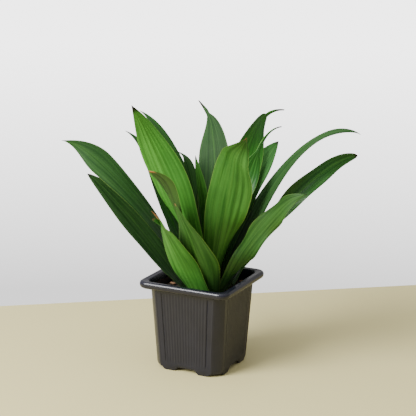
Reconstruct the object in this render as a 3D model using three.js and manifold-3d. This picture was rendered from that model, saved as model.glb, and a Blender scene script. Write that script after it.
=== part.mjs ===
// A potted dracaena: a rosette of strap leaves on one short cane, rooted in potting
// mix in a square nursery pot. Millimetres, +Z up. The origin is the middle of the
// pot on the surface that it stands on, and the pot's sides face along X and Y.
import * as THREE from "three";
import { mergeVertices } from "three/addons/utils/BufferGeometryUtils.js";
import Module from "manifold-3d";

const wasm = await Module();
wasm.setup();

// ---- Driving dimensions -------------------------------------------------------
const GAP = 0.3; // clearance between pieces that touch
const DEG = Math.PI / 180;

// Pot: injection-moulded, tapered, with chamfered corners, flutes and a rolled rim.
const POT_HEIGHT = 98;
const RIM_WIDTH = 104; // outside, across the flats
const RIM_DEPTH = 7.5; // how far the lip hangs down
const BODY_TOP = 87; // outside width just under the rim
const BODY_BOTTOM = 76.5; // outside width at the feet
const WALL = 1.3;
const CORNER = 8.5; // how far each chamfered corner cuts back along the sides
const FLUTES = 13; // on each side
const FLUTE_DEPTH = 0.35;
const FLOOR_HEIGHT = 6; // underside of the raised floor
const FLOOR = 1.5;
const ARCH = 4.6; // height of the gap between the feet
const CORNER_LIFT = 3.2; // how far the corners clear the ground
const DRAIN_RADIUS = 4;
const DRAIN_OFFSET = 22;

// Potting mix, and the cane that stands in it.
const SOIL_TOP = 84;
const SOIL_LUMP = 1.2;
const STEM_AT = new THREE.Vector2(9, -1); // the cane stands a little off the middle
const STEM_FOOT = 56; // height where the lowest leaves grow, under the mix's surface
const STEM_BURIED = 24; // below that
const STEM_TOP = 140;
const STEM_FOOT_RADIUS = 8.2;
const STEM_TOP_RADIUS = 2.4;

// Leaf blades.
const LEAF_THICKNESS = 0.9;
const STATIONS = 16; // cross-sections along a blade
const COLUMNS = 6; // facets across a blade

// ---- Small helpers ------------------------------------------------------------
const mix = (a, b, t) => a + (b - a) * t;
const smooth = (t) => {
  const c = Math.min(1, Math.max(0, t));
  return c * c * (3 - 2 * c);
};

function triangles(points, faces) {
  const geometry = new THREE.BufferGeometry();
  geometry.setAttribute("position", new THREE.Float32BufferAttribute(points.flat(), 3));
  geometry.setIndex(faces.flat());
  return geometry;
}

function solidOf(geometry) {
  const bare = geometry.clone();
  bare.deleteAttribute("normal");
  bare.deleteAttribute("uv");
  const merged = mergeVertices(bare, 1e-4);
  return new wasm.Manifold(new wasm.Mesh({
    numProp: 3,
    vertProperties: merged.attributes.position.array,
    triVerts: new Uint32Array(merged.index.array),
  }));
}

function geometryOf(solid) {
  const mesh = solid.getMesh();
  const geometry = new THREE.BufferGeometry();
  geometry.setAttribute("position", new THREE.BufferAttribute(mesh.vertProperties, 3));
  geometry.setIndex(new THREE.BufferAttribute(mesh.triVerts, 1));
  return geometry;
}

// Joins rings of equal length into a closed skin, with a fan on the first and last. From
// fold on, faces are split the other way, so the two sides of a thin blade split alike.
function loft(rings, firstCentre, lastCentre, fold = Infinity) {
  const n = rings[0].length;
  const points = [...rings.flat(), firstCentre, lastCentre];
  const first = points.length - 2;
  const last = points.length - 1;
  const faces = [];
  for (let i = 0; i < n; i++) {
    const j = (i + 1) % n;
    for (let k = 0; k + 1 < rings.length; k++) {
      const a = k * n;
      const b = a + n;
      if (i < fold) faces.push([a + i, a + j, b + j], [a + i, b + j, b + i]);
      else faces.push([a + i, a + j, b + i], [a + j, b + j, b + i]);
    }
    const top = (rings.length - 1) * n;
    faces.push([first, j, i], [last, top + i, top + j]);
  }
  return triangles(points, faces);
}

// ---- Pot ----------------------------------------------------------------------
// One side's stations from corner to corner, as shares of the flat between chamfers.
const sideShares = [0, 0.06];
for (let i = 0; i <= FLUTES * 2; i++) sideShares.push(0.09 + (0.82 * i) / (FLUTES * 2));
sideShares.push(0.94, 1);

// The pot's outline at one height, seen from above and running anticlockwise.
// flute sinks every other station; height may follow each station's share of a side.
function outline(width, corner, height, flute = 0, shares = sideShares) {
  const half = width / 2;
  const flat = half - corner;
  const ring = [];
  for (let side = 0; side < 4; side++) {
    const turn = side * 90 * DEG;
    shares.forEach((share, i) => {
      const sunk = i > 1 && i < shares.length - 2 && i % 2 ? flute : 0;
      const x = mix(-flat, flat, share);
      const y = -half + sunk;
      ring.push([
        x * Math.cos(turn) - y * Math.sin(turn),
        x * Math.sin(turn) + y * Math.cos(turn),
        typeof height === "function" ? height(share) : height,
      ]);
    });
  }
  return ring;
}

// The lower edge: raised corners, a foot at each end of a side and a low arch between.
function footLine(share) {
  const fromEnd = Math.min(share, 1 - share);
  const corner = CORNER_LIFT * (1 - smooth(fromEnd / 0.09));
  return corner + ARCH * smooth((fromEnd - 0.24) / 0.12);
}

const UNDER_RIM = POT_HEIGHT - RIM_DEPTH;
const IN_CORNER = CORNER - WALL * 0.6;
const bodyWidth = (z) => mix(BODY_BOTTOM, BODY_TOP, z / UNDER_RIM);
const innerWidth = (z) => bodyWidth(z) - 2 * WALL;

function potGeometry() {
  const rings = [
    outline(innerWidth(FLOOR_HEIGHT), IN_CORNER, FLOOR_HEIGHT),
    outline(innerWidth(0), IN_CORNER, footLine),
    outline(bodyWidth(0), CORNER, footLine),
    outline(bodyWidth(10), CORNER, 10, FLUTE_DEPTH),
    outline(bodyWidth(UNDER_RIM - 4), CORNER, UNDER_RIM - 4, FLUTE_DEPTH),
    outline(bodyWidth(UNDER_RIM - 2), CORNER, UNDER_RIM - 2),
    outline(bodyWidth(UNDER_RIM), CORNER, UNDER_RIM),
    outline(RIM_WIDTH - 5, 9, UNDER_RIM),
    outline(RIM_WIDTH - 0.8, 9.5, UNDER_RIM + 1.4),
    outline(RIM_WIDTH, 9.5, UNDER_RIM + 4),
    outline(RIM_WIDTH - 1.4, 9.5, POT_HEIGHT - 1),
    outline(RIM_WIDTH - 4, 9, POT_HEIGHT),
    outline(RIM_WIDTH - 12, 8, POT_HEIGHT),
    outline(RIM_WIDTH - 14, 8, POT_HEIGHT - 0.8),
    outline(innerWidth(UNDER_RIM), IN_CORNER, UNDER_RIM),
    outline(innerWidth(FLOOR_HEIGHT + FLOOR), IN_CORNER, FLOOR_HEIGHT + FLOOR),
  ];
  const shell = solidOf(loft(rings, [0, 0, FLOOR_HEIGHT], [0, 0, FLOOR_HEIGHT + FLOOR]));
  const drain = new THREE.CylinderGeometry(DRAIN_RADIUS, DRAIN_RADIUS, 4 * FLOOR, 16);
  drain.rotateX(Math.PI / 2);
  drain.translate(0, 0, FLOOR_HEIGHT + FLOOR / 2);
  let pot = shell.subtract(solidOf(drain));
  for (const [x, y] of [[1, 1], [-1, 1], [-1, -1], [1, -1]]) {
    const hole = drain.clone().translate(x * DRAIN_OFFSET, y * DRAIN_OFFSET, 0);
    pot = pot.subtract(solidOf(hole));
  }
  return geometryOf(pot);
}

// ---- Cane ---------------------------------------------------------------------
const stemRadius = (z) => {
  const climbed = Math.max(0, z - STEM_FOOT) / (STEM_TOP - STEM_FOOT);
  return mix(STEM_FOOT_RADIUS, STEM_TOP_RADIUS, climbed);
};

// The cane as a turned shape, grown outwards by extra and stopping at height top.
function cane(extra, top) {
  const radius = stemRadius(top);
  const profile = [
    new THREE.Vector2(0, STEM_FOOT - STEM_BURIED - extra),
    new THREE.Vector2(5 + extra, STEM_FOOT - STEM_BURIED - extra),
    new THREE.Vector2(STEM_FOOT_RADIUS + extra, STEM_FOOT - 4),
    new THREE.Vector2(radius + extra, top - 2),
    new THREE.Vector2(0, top),
  ];
  const geometry = new THREE.LatheGeometry(profile, 20);
  geometry.rotateX(Math.PI / 2);
  geometry.translate(STEM_AT.x, STEM_AT.y, 0);
  return geometry;
}

// ---- Leaves -------------------------------------------------------------------
// A blade leaves the cane at height foot above the mix, heading turn degrees round
// from +X. It climbs at rise degrees above level, changing to tip degrees by its point;
// a higher bend keeps the change near the point. swing turns the point sideways, twist
// rolls the blade and curl rolls its point; hook and nod turn and tip its last fifth.
// Its base wraps the cane, and cup is the half angle of the trough further out. neck,
// belly, round and tail shape its width, wave ripples its edges.
const LEAF = {
  bend: 1.6, swing: 0, twist: 0, curl: 0, hook: 0, nod: 0, cup: 20, neck: 0.6, belly: 0.5,
  round: 0.85, tail: 0, wave: 0, waves: 3, phase: 0,
};
const LEAVES = {
  leaf_01: { turn: 130, foot: -25, long: 126, wide: 24, rise: 46, tip: 22 },
  leaf_02: { turn: 78, foot: -24, long: 116, wide: 25, rise: 50, tip: 28 },
  leaf_03: {
    turn: 196, foot: -24, long: 190, wide: 31.7, rise: 54.5, tip: 43, bend: 1.41, swing: -1,
    twist: -32, curl: -18, hook: 7, nod: -7, neck: 0.55, belly: 0.55, round: 0.74,
  },
  leaf_04: {
    turn: 255, foot: -19, long: 134, wide: 35.4, rise: 57, tip: 60, bend: 1.52, swing: -1,
    twist: 20, curl: -45, hook: -60, nod: -35, cup: 33, neck: 0.81, belly: 0.3, round: 0.57,
  },
  leaf_05: {
    turn: 27, foot: -17, long: 225, wide: 21, rise: 61, tip: 21, bend: 1.99, swing: 25,
    twist: 34, curl: 60, hook: -11, nod: -19, cup: 34, neck: 0.52, belly: 0.7, round: 0.53,
    wave: 2,
  },
  leaf_06: { turn: 150, foot: -16, long: 130, wide: 28, rise: 56, tip: 25, bend: 2 },
  leaf_07: {
    turn: 281, foot: -14, long: 139, wide: 40, rise: 62.3, tip: 62, bend: 0.82, swing: -57,
    twist: 9, curl: -17, hook: 24, cup: 6, neck: 0.53, belly: 0.42, round: 0.8,
  },
  leaf_08: {
    turn: 350, foot: -12, long: 181, wide: 22.3, rise: 62.9, tip: 36, bend: 1.26,
    swing: -23, twist: -80, curl: -25, hook: 60, nod: -24, cup: 13, neck: 0.76, belly: 0.7,
    round: 0.94, wave: 1.5,
  },
  leaf_09: {
    turn: 195, foot: -11, long: 230, wide: 26.6, rise: 60.5, tip: 33, bend: 1.37, swing: -2,
    twist: -12, curl: -90, hook: 11, nod: -30, cup: 6, neck: 0.4, belly: 0.78, round: 1.35,
  },
  leaf_10: { turn: 100, foot: -10, long: 132, wide: 28, rise: 60, tip: 30 },
  leaf_11: {
    turn: 226, foot: -9, long: 116, wide: 16.4, rise: 62.3, tip: 60, bend: 1.71, swing: -1,
    twist: -4, curl: 14, hook: 22, nod: -18, cup: 21, belly: 0.53, round: 0.78,
  },
  leaf_12: {
    turn: 36, foot: -8, long: 251, wide: 38, rise: 65.3, tip: -2, bend: 3.69, swing: -46,
    twist: 15, curl: 5, hook: 70, nod: -32, cup: 18, belly: 0.21, round: 0.75,
  },
  leaf_13: {
    turn: 189, foot: -3, long: 192, wide: 35.2, rise: 68.8, tip: 48, bend: 3.81, swing: 4,
    twist: -28, curl: 21, hook: 9, nod: -22, cup: 19, belly: 0.48, round: 0.89,
  },
  leaf_14: {
    turn: 69, foot: 3, long: 173, wide: 29.8, rise: 67.9, tip: 37, bend: 2.52, swing: -10,
    twist: 19, curl: 17, hook: 9, nod: -3, cup: 23, belly: 0.71,
  },
  leaf_15: {
    turn: 255, foot: -7, long: 179, wide: 28.8, rise: 66.4, tip: 33, bend: 4.29, swing: 12,
    twist: -49, curl: 62, hook: -30, nod: -11, cup: 32, belly: 0.87, round: 0.7,
  },
  leaf_16: {
    turn: 234, foot: 4, long: 226, wide: 43.8, rise: 73, tip: 53, bend: 1.65, swing: 28,
    twist: 24, curl: 39, hook: 1, nod: -5, cup: 35, neck: 0.61, belly: 0.48, round: 0.95,
  },
  leaf_17: {
    turn: 65, foot: 7, long: 214, wide: 35.9, rise: 72.6, tip: 2, bend: 4.43, swing: 29,
    twist: 39, curl: 82, hook: -91, nod: -6, cup: 18, belly: 0.65, round: 0.5, tail: 0.1,
  },
  leaf_18: {
    turn: 321, foot: 9, long: 201, wide: 46.8, rise: 74.1, tip: 38, bend: 1.4, swing: -35,
    twist: -36, curl: -11, hook: 131, nod: 27, cup: 6, neck: 0.33, belly: 0.61, round: 0.63,
  },
  leaf_19: {
    turn: 33, foot: 17, long: 176, wide: 32, rise: 73, tip: 41, bend: 5.6, swing: 25,
    twist: 54, curl: 60, hook: -47, nod: -34, cup: 6, neck: 0.62, belly: 0.61, tail: 0.2,
  },
  leaf_20: {
    turn: 175, foot: 15, long: 193, wide: 31.8, rise: 75.1, tip: 38, bend: 2.56, swing: -3,
    curl: -2, hook: 5, nod: -17, belly: 0.47,
  },
  leaf_21: {
    turn: 165, foot: 22, long: 133, wide: 17, rise: 79.4, tip: 65, bend: 2.67, swing: 12,
    twist: 3, curl: 1, hook: 71, nod: -53, cup: 33, neck: 0.59, belly: 0.83, round: 0.76,
  },
  leaf_22: {
    turn: 107, foot: 28, long: 193, wide: 37.1, rise: 80.4, tip: 1, bend: 2.56, swing: 32,
    twist: -5, curl: -79, hook: 30, nod: 40, cup: 1, belly: 0.57, tail: 0.1,
  },
  leaf_23: { turn: 250, foot: 40, long: 110, wide: 18, rise: 84, tip: 76 },
  leaf_24: { turn: 330, foot: 49, long: 60, wide: 10, rise: 86, tip: 84 },
};

// Share of the full width at t along a blade.
function widthAt(leaf, t) {
  const reach = 1 - leaf.tail;
  const u = Math.min(1, t / reach);
  const swell = mix(leaf.neck, 1, Math.sin(Math.min(1, u / leaf.belly) * 90 * DEG));
  const v = Math.max(0, (u - leaf.belly) / (1 - leaf.belly));
  const blade = swell * Math.pow(Math.max(0, Math.cos(v * 90 * DEG)), leaf.round);
  const thread = leaf.tail ? 0.08 * Math.min(1, (1 - t) / leaf.tail + 0.1) : 0;
  return Math.max(blade, thread, 0.012);
}

// Sections along a blade: where its midrib is, which way it climbs, and its side.
function midrib(leaf, count, steps = 12) {
  const heading = leaf.turn * DEG;
  const start = stemRadius(SOIL_TOP + leaf.foot) + 1.7;
  let reach = start;
  const at = new THREE.Vector3(Math.cos(heading), Math.sin(heading), 0);
  const centre = at.multiplyScalar(start);
  centre.add(new THREE.Vector3(STEM_AT.x, STEM_AT.y, SOIL_TOP + leaf.foot));
  const sections = [];
  for (let i = 0; i <= count * steps; i++) {
    const t = i / (count * steps);
    const late = Math.max(0, (t - 0.8) / 0.2) ** 2;
    const climb = (mix(leaf.rise, leaf.tip, Math.pow(t, leaf.bend)) + leaf.nod * late) * DEG;
    const course = heading + (leaf.swing * t * t + leaf.hook * late) * DEG;
    const roll = (leaf.twist * smooth(t * 2.2) + leaf.curl * t * t * t) * DEG;
    const flat = Math.cos(climb);
    const along = new THREE.Vector3(
      flat * Math.cos(course), flat * Math.sin(course), Math.sin(climb));
    const level = new THREE.Vector3(-Math.sin(course), Math.cos(course), 0);
    const back = new THREE.Vector3().crossVectors(along, level);
    const side = level.clone().multiplyScalar(Math.cos(roll));
    side.addScaledVector(back, Math.sin(roll));
    const face = back.clone().multiplyScalar(Math.cos(roll));
    face.addScaledVector(level, -Math.sin(roll));
    if (i % steps === 0) {
      sections.push({ t, heading, climb, reach, centre: centre.clone(), side, face });
    }
    const step = leaf.long / (count * steps);
    centre.addScaledVector(along, step);
    reach += flat * step;
  }
  return sections;
}

// One point across a section: v runs from -1 to 1 between the edges, and layer is 1 on
// the upper face and -1 on the lower. Near the cane the blade follows a cone around it.
function bladePoint(leaf, section, v, layer) {
  const { t, heading, climb, reach, centre, side, face } = section;
  const half = (leaf.wide / 2) * widthAt(leaf, t);
  const turn = heading + v * Math.min(half / reach, 80 * DEG);
  const out = new THREE.Vector3(Math.cos(turn), Math.sin(turn), 0);
  const wrapped = out.clone().multiplyScalar(reach);
  wrapped.add(new THREE.Vector3(STEM_AT.x, STEM_AT.y, centre.z));
  const wrappedUp = out.multiplyScalar(-Math.sin(climb));
  wrappedUp.z = Math.cos(climb);

  const natural = Math.min(1.1, (half * Math.sin(climb)) / reach);
  const arc = mix(natural, leaf.cup * DEG * mix(1, 0.6, t), smooth(t / 0.5));
  const radius = half / arc;
  const beat = 2 * Math.PI * leaf.waves * t + leaf.phase + (v > 0 ? 1.4 : 0);
  const ripple = leaf.wave * v * v * Math.sin(beat) * smooth(t * 3) * smooth((1 - t) * 4);
  const open = centre.clone().addScaledVector(side, radius * Math.sin(arc * v));
  open.addScaledVector(face, radius * (1 - Math.cos(arc * v)) + ripple);
  const openUp = face.clone().multiplyScalar(Math.cos(arc * v));
  openUp.addScaledVector(side, -Math.sin(arc * v));

  const free = smooth((reach - 16) / 30);
  const point = wrapped.lerp(open, free);
  const up = wrappedUp.lerp(openUp, free).normalize();
  const thickness = LEAF_THICKNESS * (1 - v * v) * mix(1, 0.5, t);
  return point.addScaledVector(up, (layer * thickness) / 2).toArray();
}

function leafGeometry(spec) {
  const leaf = { ...LEAF, ...spec };
  const sections = midrib(leaf, STATIONS);
  const rings = sections.map((section) => {
    const ring = [];
    for (let j = 0; j <= COLUMNS; j++) {
      ring.push(bladePoint(leaf, section, (2 * j) / COLUMNS - 1, -1));
    }
    for (let j = COLUMNS - 1; j > 0; j--) {
      ring.push(bladePoint(leaf, section, (2 * j) / COLUMNS - 1, 1));
    }
    return ring;
  });
  const ends = [sections[0], sections[STATIONS]];
  return loft(rings, ...ends.map((section) => section.centre.toArray()), COLUMNS);
}

// ---- Potting mix --------------------------------------------------------------
// Height of the surface at a point: lumpy, and lying just under the lowest leaf bases.
function soilHeight(x, y) {
  const broad = Math.sin(x * 0.21 + 1.1) * Math.cos(y * 0.17 - 0.6);
  const fine = Math.sin(x * 0.63 + y * 0.48) * Math.cos(y * 0.71 - x * 0.2);
  let height = SOIL_TOP + SOIL_LUMP * (0.5 * broad + 0.5 * fine);
  const reach = Math.hypot(x - STEM_AT.x, y - STEM_AT.y);
  const bearing = Math.atan2(y - STEM_AT.y, x - STEM_AT.x);
  for (const spec of Object.values(LEAVES)) {
    const leaf = { ...LEAF, ...spec };
    const away = Math.abs(Math.atan2(
      Math.sin(bearing - leaf.turn * DEG), Math.cos(bearing - leaf.turn * DEG)));
    const start = stemRadius(SOIL_TOP + leaf.foot);
    const climbed = Math.max(0, reach - start) * Math.tan(leaf.rise * DEG);
    const spread = Math.min(85 * DEG, leaf.wide / 2 / reach) + 30 * DEG;
    const under = SOIL_TOP + leaf.foot + climbed - 4;
    if (away < spread) height = Math.min(height, under);
  }
  return height;
}

function soilGeometry() {
  const shares = [0, 0.12, 0.24, 0.36, 0.5, 0.64, 0.76, 0.88, 1];
  const fit = (z) => outline(innerWidth(z) - 2 * GAP, IN_CORNER, z, 0, shares);
  const floor = FLOOR_HEIGHT + FLOOR + GAP;
  const rings = [fit(floor)];
  const edge = fit(SOIL_TOP - 1);
  rings.push(edge);
  for (const reach of [30, 25, 20, 16, 12.5, 8]) {
    rings.push(edge.map(([x, y]) => {
      const bearing = Math.atan2(y - STEM_AT.y, x - STEM_AT.x);
      const px = STEM_AT.x + reach * Math.cos(bearing);
      const py = STEM_AT.y + reach * Math.sin(bearing);
      return [px, py, soilHeight(px, py)];
    }));
  }
  const middle = [STEM_AT.x, STEM_AT.y, STEM_FOOT];
  const heap = solidOf(loft(rings, [0, 0, floor], middle));
  return geometryOf(heap.subtract(solidOf(cane(GAP, SOIL_TOP + 20))));
}

// ---- Bark chips ---------------------------------------------------------------
// Chips of bark lying on the mix: where, how long, wide and thick, and turned how far.
const CHIPS = [
  { x: -33, y: -6, long: 9, wide: 4, thick: 2.6, turn: 20 },
  { x: -36, y: 6, long: 7, wide: 4.5, thick: 3, turn: 70 },
  { x: -26, y: 16, long: 11, wide: 4, thick: 2.4, turn: 130 },
  { x: -36, y: 20, long: 6, wide: 4, thick: 2.6, turn: 10 },
  { x: -24, y: -25, long: 8, wide: 5, thick: 3, turn: 100 },
  { x: -34, y: -28, long: 6, wide: 3.5, thick: 2.4, turn: 45 },
  { x: -12, y: -33, long: 9, wide: 4, thick: 2.4, turn: 160 },
  { x: 30, y: -32, long: 7, wide: 4.5, thick: 2.8, turn: 60 },
  { x: 36, y: -20, long: 8, wide: 3.5, thick: 2.2, turn: 110 },
  { x: 31, y: 34, long: 9, wide: 5, thick: 2.8, turn: 30 },
  { x: -18, y: 35, long: 7, wide: 4, thick: 2.4, turn: 80 },
  { x: -3, y: 36, long: 8, wide: 4.5, thick: 2.6, turn: 150 },
];

function chipGeometry(chip, index) {
  const geometry = mergeVertices(new THREE.IcosahedronGeometry(1, 0).deleteAttribute("uv")
    .deleteAttribute("normal"), 1e-4);
  const spots = geometry.attributes.position;
  for (let i = 0; i < spots.count; i++) {
    const bite = 1 + 0.16 * Math.sin(7 * i + 3 * index);
    spots.setXYZ(i, spots.getX(i) * bite, spots.getY(i) * bite, spots.getZ(i) * bite);
  }
  geometry.scale(chip.long / 2, chip.wide / 2, chip.thick / 2);
  geometry.rotateZ(chip.turn * DEG);
  let rest = 0;
  for (let i = 0; i < 24; i++) {
    const reach = (chip.long * (1 + (i % 3))) / 6 + 0.8;
    const [px, py] = [chip.x + reach * Math.cos(i), chip.y + reach * Math.sin(i)];
    rest = Math.max(rest, soilHeight(px, py));
  }
  geometry.computeBoundingBox();
  return geometry.translate(chip.x, chip.y, rest + GAP - geometry.boundingBox.min.z);
}

// ---- Materials ----------------------------------------------------------------
const paint = (color, roughness) =>
  new THREE.MeshStandardMaterial({ color, roughness, metalness: 0 });

// ---- Assembly -----------------------------------------------------------------
const plant = new THREE.Group();
function add(name, geometry, material) {
  const mesh = new THREE.Mesh(geometry, material);
  mesh.name = name;
  plant.add(mesh);
}

add("pot", potGeometry(), paint(0x2f2d2c, 0.45));
add("potting_mix", soilGeometry(), paint(0x2a1f17, 0.95));
add("stem", cane(0, STEM_TOP), paint(0x6f7f45, 0.7));
for (const [name, leaf] of Object.entries(LEAVES)) {
  add(name, leafGeometry(leaf), paint(0x2c6b22, 0.42));
}

CHIPS.forEach((chip, i) => {
  const name = `bark_chip_${String(i + 1).padStart(2, "0")}`;
  add(name, chipGeometry(chip, i), paint(0x6b4526, 0.9));
});

export default plant;
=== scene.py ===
import math
import random

import bpy
import numpy as np
from mathutils import Matrix, Vector, noise


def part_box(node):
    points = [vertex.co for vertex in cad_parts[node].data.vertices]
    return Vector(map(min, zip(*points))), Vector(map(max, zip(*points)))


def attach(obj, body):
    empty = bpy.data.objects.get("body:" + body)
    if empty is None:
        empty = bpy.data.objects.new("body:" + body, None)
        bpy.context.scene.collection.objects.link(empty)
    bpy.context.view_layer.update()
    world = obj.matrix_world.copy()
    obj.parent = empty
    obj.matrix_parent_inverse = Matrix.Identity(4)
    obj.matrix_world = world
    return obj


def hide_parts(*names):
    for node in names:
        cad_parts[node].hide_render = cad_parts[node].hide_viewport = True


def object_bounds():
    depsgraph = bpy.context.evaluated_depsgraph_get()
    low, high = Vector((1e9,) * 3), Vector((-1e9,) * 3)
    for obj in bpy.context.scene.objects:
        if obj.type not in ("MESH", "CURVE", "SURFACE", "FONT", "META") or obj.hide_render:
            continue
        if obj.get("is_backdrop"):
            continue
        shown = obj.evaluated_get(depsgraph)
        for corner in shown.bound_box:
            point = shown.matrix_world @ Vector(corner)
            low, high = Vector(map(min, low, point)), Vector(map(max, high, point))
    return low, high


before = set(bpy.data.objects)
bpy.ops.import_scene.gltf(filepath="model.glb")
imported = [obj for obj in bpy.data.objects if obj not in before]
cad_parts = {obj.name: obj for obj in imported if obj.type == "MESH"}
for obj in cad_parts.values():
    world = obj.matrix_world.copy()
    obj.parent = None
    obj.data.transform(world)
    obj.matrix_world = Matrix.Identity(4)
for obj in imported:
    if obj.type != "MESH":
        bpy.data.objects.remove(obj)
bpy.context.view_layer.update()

# ---- Pot ------------------------------------------------------------------------------
# One injection-moulded nursery pot in black recycled polypropylene: thin tapered walls,
# chamfered corners, fine upright ribs on each side and a thick rolled rim. It stands on
# the ends of its sides, and its raised floor has five drainage holes.
MM = 0.001
pot_low, pot_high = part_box("pot")
POT_HEIGHT = (pot_high.z - pot_low.z) / MM
RIM_HALF = (pot_high.x - pot_low.x) / 2 / MM
RIM_DROP = 7.5
BODY_TOP = 87.0
BODY_FOOT = 76.5
WALL = 1.3
CHAMFER = 8.5
FLOOR = 6.0
RIBS = 14
UNDER_RIM = POT_HEIGHT - RIM_DROP
side_shares = np.concatenate([np.linspace(0, 0.14, 22, endpoint=False),
                              np.linspace(0.14, 0.86, RIBS * 8, endpoint=False),
                              np.linspace(0.86, 1, 23)])


def lerp(a, b, t):
    return a + (b - a) * t


def ease(t):
    t = np.clip(t, 0, 1)
    return t * t * (3 - 2 * t)


def side_relief(share):
    """How far a side is sunk, in mm: a proud line by each chamfer, a groove, then ribs."""
    from_end = np.minimum(share, 1 - share) * 66
    line = -0.4 * np.exp(-((from_end - 1.0) / 0.5) ** 2)
    groove = 0.9 * np.exp(-((from_end - 7.4) / 0.5) ** 2)
    beat = (share - 0.14) / 0.72 * RIBS
    ribs = 0.42 * (0.5 - 0.5 * np.cos(2 * math.pi * beat)) ** 0.7 * (from_end > 9.24)
    return line + groove + ribs


def foot_line(share):
    """The lower edge of a side: lifted corners, a foot near each end, a low arch between."""
    from_end = np.minimum(share, 1 - share)
    return 3.2 * (1 - ease(from_end / 0.09)) + 4.6 * ease((from_end - 0.24) / 0.12)


def pot_ring(half, corner, height, relief=0.0, roundness=0.2):
    """The pot's outline at one height, anticlockwise from above, in mm."""
    flat = half - corner
    z_side = foot_line(side_shares) if height is None else np.full(len(side_shares), height)
    turn = np.arange(1, 12) / 12 * math.pi / 2
    arc = np.stack([flat + corner * np.sin(turn), -flat - corner * np.cos(turn)], 1)
    chord = np.stack([flat + corner * turn / (math.pi / 2),
                      -half + corner * turn / (math.pi / 2)], 1)
    bend = lerp(chord, arc, roundness)
    z_corner = 3.2 if height is None else height
    x = np.concatenate([lerp(-flat, flat, side_shares), bend[:, 0]])
    y = np.concatenate([-half + relief * side_relief(side_shares), bend[:, 1]])
    z = np.concatenate([z_side, np.full(len(turn), z_corner)])
    rings = [np.stack([x, y, z], 1)]
    for _ in range(3):
        last = rings[-1]
        rings.append(np.stack([-last[:, 1], last[:, 0], last[:, 2]], 1))
    return np.concatenate(rings)


def new_object(name, points, faces, material, smooth_below=40):
    """A mesh object from points in mm, shaded smooth except across edges over an angle."""
    mesh = bpy.data.meshes.new(name)
    mesh.from_pydata((np.asarray(points) * MM).tolist(), [], faces)
    mesh.update()
    mesh.polygons.foreach_set("use_smooth", [True] * len(mesh.polygons))
    mesh.set_sharp_from_angle(angle=math.radians(smooth_below))
    made = bpy.data.objects.new(name, mesh)
    bpy.context.scene.collection.objects.link(made)
    mesh.materials.append(material)
    return made


def skin_faces(count, n):
    """Quads between count rings of n points, with a fan to one point at each end."""
    faces = []
    for k in range(count - 1):
        for i in range(n):
            j = (i + 1) % n
            faces.append((k * n + i, k * n + j, k * n + n + j, k * n + n + i))
    first, last, top = count * n, count * n + 1, (count - 1) * n
    for i in range(n):
        j = (i + 1) % n
        faces.append((first, j, i))
        faces.append((last, top + i, top + j))
    return faces


def place(made, node):
    """The piece stands for that CAD node, which is hidden, and rides with the pot."""
    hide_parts(node)
    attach(made, "root")


def group_sockets(name, inputs, outputs):
    """A new shader node group with named sockets: (name, type, default) and (name, type)."""
    tree = bpy.data.node_groups.new(name, "ShaderNodeTree")
    for label, kind, value in inputs:
        socket = tree.interface.new_socket(label, in_out="INPUT", socket_type=kind)
        socket.default_value = value
    for label, kind in outputs:
        tree.interface.new_socket(label, in_out="OUTPUT", socket_type=kind)
    return tree, tree.nodes.new("NodeGroupInput"), tree.nodes.new("NodeGroupOutput")


def node(tree, kind, at=None, **settings):
    """Adds a node; settings are its properties, and at sets its inputs or links to them."""
    made = tree.nodes.new(kind)
    for key, value in settings.items():
        setattr(made, key, value)
    for key, value in (at or {}).items():
        if isinstance(value, bpy.types.NodeSocket):
            tree.links.new(value, made.inputs[key])
        else:
            made.inputs[key].default_value = value
    return made


def sums(tree, operation, a, b, clamp=False):
    """One sum on two values, such as ADD or MULTIPLY."""
    return node(tree, "ShaderNodeMath", {0: a, 1: b}, operation=operation,
                use_clamp=clamp).outputs[0]


def blend(tree, share, a, b):
    """Mixes two colours: share 0 gives a, share 1 gives b."""
    return node(tree, "ShaderNodeMix", {"Factor": share, 6: a, 7: b},
                data_type="RGBA").outputs[2]


def spread(tree, value, low, high, to_low=0.0, to_high=1.0):
    """Maps value from low..high to to_low..to_high, clamped."""
    return node(tree, "ShaderNodeMapRange", {0: value, 1: low, 2: high, 3: to_low,
                                             4: to_high}).outputs[0]


# Mottling: soft blotches with a finer grain in them, for plastic, mix, bark and blades.
mottle, way_in, way_out = group_sockets(
    "mottle",
    [("Position", "NodeSocketVector", (0, 0, 0)), ("Blotch", "NodeSocketFloat", 60.0),
     ("Grain", "NodeSocketFloat", 900.0), ("Grain share", "NodeSocketFloat", 0.4)],
    [("Mask", "NodeSocketFloat"), ("Height", "NodeSocketFloat")])
blotch = node(mottle, "ShaderNodeTexNoise", {"Vector": way_in.outputs["Position"],
                                             "Scale": way_in.outputs["Blotch"],
                                             "Detail": 3.0})
grain = node(mottle, "ShaderNodeTexNoise", {"Vector": way_in.outputs["Position"],
                                            "Scale": way_in.outputs["Grain"],
                                            "Detail": 2.0})
both = node(mottle, "ShaderNodeMix", {"Factor": way_in.outputs["Grain share"],
                                      2: blotch.outputs[0], 3: grain.outputs[0]})
mottle.links.new(both.outputs[0], way_out.inputs["Mask"])
mottle.links.new(grain.outputs[0], way_out.inputs["Height"])

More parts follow.
